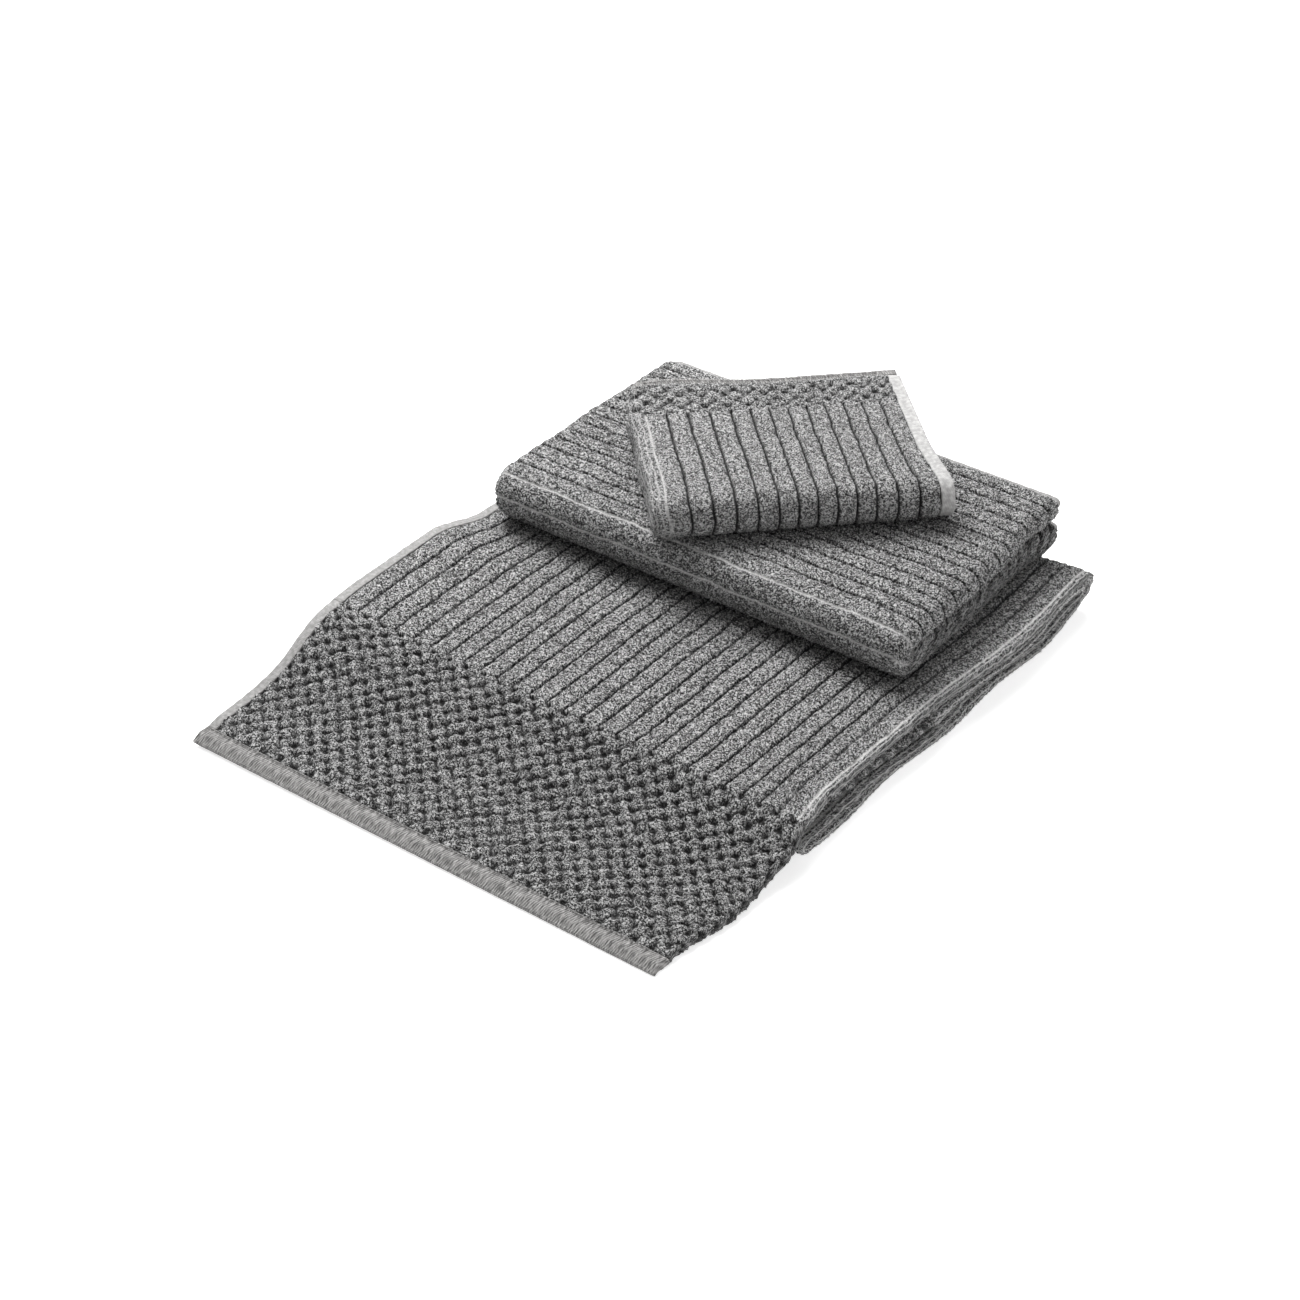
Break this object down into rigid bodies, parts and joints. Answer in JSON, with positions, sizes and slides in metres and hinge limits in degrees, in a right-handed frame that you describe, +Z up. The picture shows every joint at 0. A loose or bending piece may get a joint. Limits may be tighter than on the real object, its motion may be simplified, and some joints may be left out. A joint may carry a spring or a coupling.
{
  "type": "bath towel set",
  "caption": "Folded bath towel, hand towel and washcloth in heather grey ribbed terry with woven block borders, stacked with the bath towel's front end lying loose.",
  "frame": {"origin": "middle of the stack's footprint, on the surface that the bath towel lies on", "axes": "+X across the bath towel towards its lengthwise fold, +Y along its ribs from the loose front end to the back fold, +Z up"},
  "size_m": [0.345, 0.479, 0.094],
  "materials": {
    "bath_rib_terry": "looped terry in long pillowed ribs, heather grey",
    "bath_block_terry": "looped terry in small staggered blocks, heather grey",
    "hand_rib_terry": "looped terry in long pillowed ribs, heather grey",
    "hand_block_terry": "looped terry in small staggered blocks, heather grey",
    "wash_rib_terry": "looped terry in long pillowed ribs, heather grey",
    "wash_block_terry": "looped terry in small staggered blocks, heather grey",
    "hem_weave": "flat twill weave, pale warm grey",
    "selvedge_weave": "smooth plain weave, pale grey",
    "wash_selvedge_weave": "smooth plain weave, pale grey",
    "sewing_thread": "matt cotton thread, pale warm grey"
  },
  "bodies": {
    "bath_towel": {"bath_ribbed_field": "bath_rib_terry", "bath_selvedge_outer_leaf": "selvedge_weave", "bath_selvedge_inner_leaf": "selvedge_weave", "bath_rear_border": "bath_block_terry", "bath_rear_hem": "hem_weave", "bath_rear_hem_stitching": "sewing_thread"},
    "bath_front_end": {"bath_front_border": "bath_block_terry", "bath_front_selvedge_outer_leaf": "selvedge_weave", "bath_front_selvedge_inner_leaf": "selvedge_weave", "bath_front_hem": "hem_weave", "bath_front_hem_stitching": "sewing_thread"},
    "hand_towel": {"hand_ribbed_field": "hand_rib_terry", "hand_left_border": "hand_block_terry", "hand_right_border": "hand_block_terry", "hand_left_hem": "hem_weave", "hand_right_hem": "hem_weave", "hand_left_hem_stitching": "sewing_thread", "hand_right_hem_stitching": "sewing_thread", "hand_upper_selvedge": "selvedge_weave", "hand_lower_selvedge": "selvedge_weave"},
    "washcloth": {"wash_ribbed_field": "wash_rib_terry", "wash_upper_border": "wash_block_terry", "wash_lower_border": "wash_block_terry", "wash_upper_hem": "hem_weave", "wash_lower_hem": "hem_weave", "wash_upper_hem_stitching": "sewing_thread", "wash_lower_hem_stitching": "sewing_thread", "wash_selvedge_outer_leaf": "wash_selvedge_weave", "wash_selvedge_inner_leaf": "wash_selvedge_weave"}
  },
  "joints": [
    {"name": "front_end_lift", "type": "hinge", "parent": "bath_towel", "child": "bath_front_end", "pos_m": [0, -0.10955, 0.0298], "axis": [-1, 0, 0], "range_deg": [0, 100]},
    {"name": "hand_towel_lift", "type": "slide", "parent": "bath_towel", "child": "hand_towel", "axis": [0, 0, 1], "range_m": [0, 0.25]},
    {"name": "washcloth_lift", "type": "slide", "parent": "hand_towel", "child": "washcloth", "axis": [0, 0, 1], "range_m": [0, 0.25]}
  ]
}
